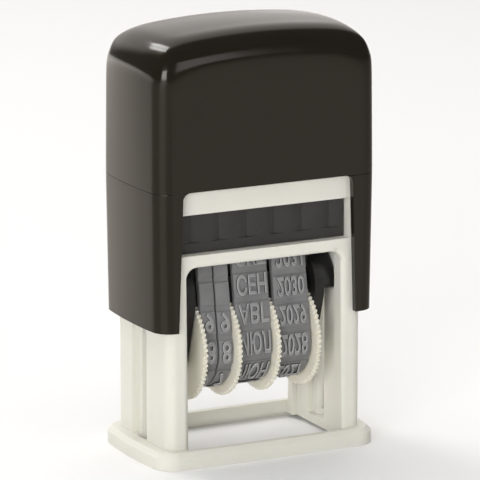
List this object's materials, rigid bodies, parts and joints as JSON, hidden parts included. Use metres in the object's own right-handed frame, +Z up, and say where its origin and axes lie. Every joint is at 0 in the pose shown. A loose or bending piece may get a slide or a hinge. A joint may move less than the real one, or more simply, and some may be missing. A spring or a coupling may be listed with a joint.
{
  "type": "self-inking date stamp",
  "caption": "Small self-inking date stamp: a sprung push cap on a slotted frame turns a thumbwheel dater over from its ink pad to the paper.",
  "frame": {"origin": "centre of the base's underside, on the table", "axes": "+Z up from the table to the cap's crown, -Y towards the front with the ink cassette's finger grip, +X to the right seen from the front"},
  "size_m": [0.048, 0.0282, 0.0841],
  "materials": {
    "white_plastic": "off-white moulded plastic, satin",
    "black_gloss": "warm black moulded plastic, polished",
    "dark_plastic": "dark grey moulded plastic, satin",
    "black_plastic": "black moulded plastic, satin",
    "cream_plastic": "cream moulded plastic, satin",
    "grey_rubber": "grey moulded rubber, satin",
    "steel": "plain drawn steel",
    "felt": "felt soaked in black ink"
  },
  "bodies": {
    "frame": {"lower_frame": "white_plastic", "spring_seat": "steel", "return_spring": "steel", "pad_cassette": "dark_plastic", "ink_pad": "felt"},
    "cap": {"cap_shell": "black_gloss", "left_pivot_pin": "steel", "right_pivot_pin": "steel"},
    "carriage": {"left_cheek": "black_plastic", "right_cheek": "black_plastic", "print_bar": "black_plastic", "wheel_axle": "steel", "axle_clips": "steel", "left_turning_peg": "steel", "right_turning_peg": "steel", "day_tens_band": "grey_rubber", "day_units_band": "grey_rubber", "month_band": "grey_rubber", "year_band": "grey_rubber"},
    "day_tens_setter": {"day_tens_wheel": "cream_plastic"},
    "day_units_setter": {"day_units_wheel": "cream_plastic"},
    "month_setter": {"month_wheel": "cream_plastic"},
    "year_setter": {"year_wheel": "cream_plastic"}
  },
  "joints": [
    {"name": "cap_press", "type": "slide", "parent": "frame", "child": "cap", "axis": [0, 0, -1], "range_m": [0, 0.0206], "stiffness_N_per_m": 400, "springref_m": -0.01, "deforming": ["return_spring"]},
    {"name": "carriage_turn", "type": "hinge", "parent": "cap", "child": "carriage", "pos_m": [0, 0.0002, 0.03091], "axis": [-1, 0, 0], "range_deg": [0, 180]},
    {"name": "day_tens_turn", "type": "hinge", "parent": "carriage", "child": "day_tens_setter", "pos_m": [0, 0.0002, 0.02061], "axis": [1, 0, 0], "continuous": true},
    {"name": "day_units_turn", "type": "hinge", "parent": "carriage", "child": "day_units_setter", "pos_m": [0, 0.0002, 0.02061], "axis": [1, 0, 0], "continuous": true},
    {"name": "month_turn", "type": "hinge", "parent": "carriage", "child": "month_setter", "pos_m": [0, 0.0002, 0.02061], "axis": [1, 0, 0], "continuous": true},
    {"name": "year_turn", "type": "hinge", "parent": "carriage", "child": "year_setter", "pos_m": [0, 0.0002, 0.02061], "axis": [1, 0, 0], "continuous": true}
  ],
  "couplings": [
    {"joint": "carriage_turn", "follows": "cap_press", "rad_per_m": 152.5}
  ]
}
